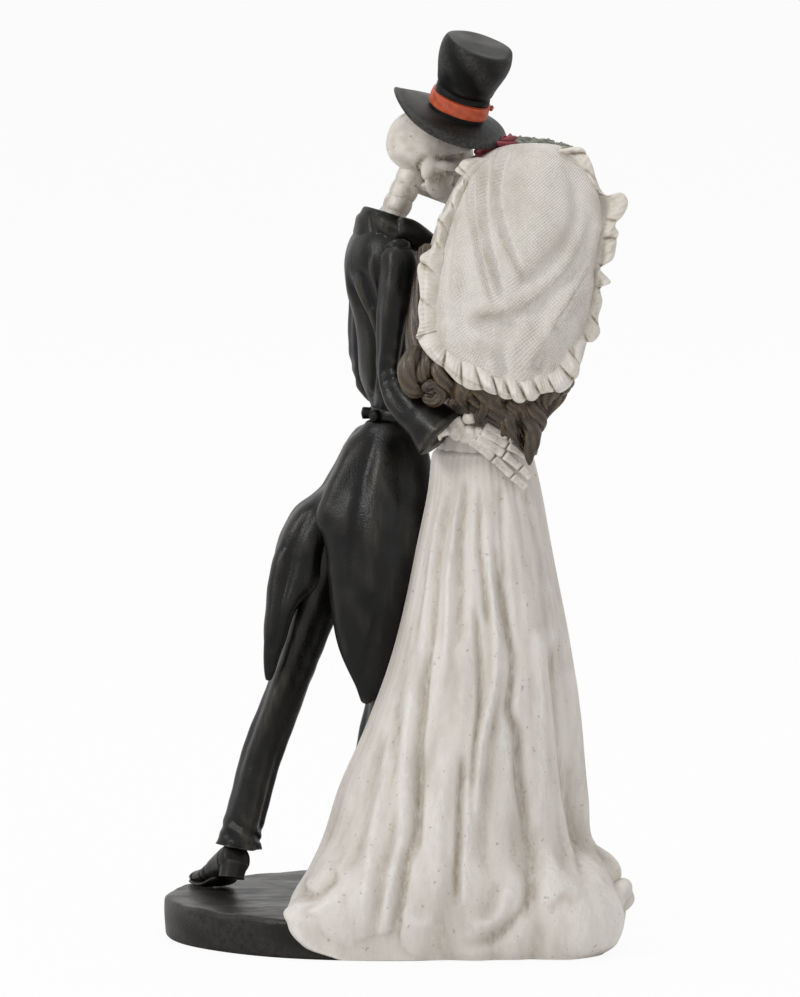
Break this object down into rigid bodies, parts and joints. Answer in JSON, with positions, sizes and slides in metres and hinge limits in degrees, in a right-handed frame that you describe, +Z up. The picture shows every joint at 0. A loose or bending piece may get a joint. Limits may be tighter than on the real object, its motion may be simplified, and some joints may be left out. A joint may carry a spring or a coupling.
{
  "type": "skeleton wedding couple figurine",
  "caption": "Cast resin skeleton bride and groom kissing on an oval plinth, for standing on a flat surface as a wedding or seasonal decoration",
  "frame": {"origin": "centre of the plinth's flat underside", "axes": "+Z up; +X to the right of somebody looking at the bride's back, along the plinth's length; +Y away from them"},
  "size_m": [0.1177, 0.0823, 0.2269],
  "materials": {
    "black_resin": "black painted cold-cast resin, satin",
    "suit_black": "black painted resin cloth, brushed satin over soft folds",
    "hat_black": "matt black painted resin, edges dry-brushed grey",
    "orange_band": "matt orange paint on a moulded ribbon",
    "bone": "bone-coloured paint with a brown wash in the hollows",
    "ivory_cloth": "ivory paint, antiqued with a brown wash in the folds",
    "veil_ivory": "ivory paint over a moulded gauze weave, antiqued",
    "hair_brown": "dark brown glossy paint on moulded curls",
    "rose_red": "deep red paint with pink dry-brushed petal edges",
    "leaf_green": "grey-green paint",
    "steel": "plain drawn steel dowel"
  },
  "bodies": {
    "root": {"base": "black_resin", "left_shoe": "black_resin", "right_shoe": "black_resin", "left_trouser_leg": "suit_black", "right_trouser_leg": "suit_black", "trouser_seat": "suit_black", "coat_left_tail": "suit_black", "coat_right_tail": "suit_black", "coat_torso": "suit_black", "coat_collar": "suit_black", "right_lapel": "suit_black", "left_lapel": "suit_black", "right_sleeve": "suit_black", "left_sleeve": "suit_black", "waist_tab": "suit_black", "waist_button_1": "black_resin", "waist_button_2": "black_resin", "bow_tie": "suit_black", "shirt_front": "ivory_cloth", "groom_neck": "bone", "groom_skull": "bone", "groom_jaw": "bone", "right_hand": "bone", "left_hand": "bone", "hat_crown": "hat_black", "hat_brim": "hat_black", "hat_band": "orange_band", "bride_neck": "bone", "bride_skull": "bone", "bride_jaw": "bone", "bride_left_arm": "bone", "bride_right_arm": "bone", "bride_shoulders": "bone", "gown_bodice": "ivory_cloth", "gown_skirt": "ivory_cloth", "gown_train_curl": "ivory_cloth", "hair_fall": "hair_brown", "hair_side_curl": "hair_brown", "rose_1": "rose_red", "rose_2": "rose_red", "rose_3": "rose_red", "leaf_1": "leaf_green", "leaf_2": "leaf_green", "leaf_3": "leaf_green", "leaf_4": "leaf_green", "wreath_band": "leaf_green", "veil_ruffle_left": "veil_ivory", "veil_ruffle_right": "veil_ivory", "veil_ruffle_bottom": "veil_ivory", "veil": "veil_ivory", "left_ankle_pin": "steel", "right_ankle_pin": "steel", "left_foot_pin": "steel", "right_foot_pin": "steel", "gown_pin_1": "steel", "gown_pin_2": "steel", "groom_neck_pin": "steel", "hat_pin": "steel", "bride_neck_pin": "steel"}
  },
  "joints": []
}
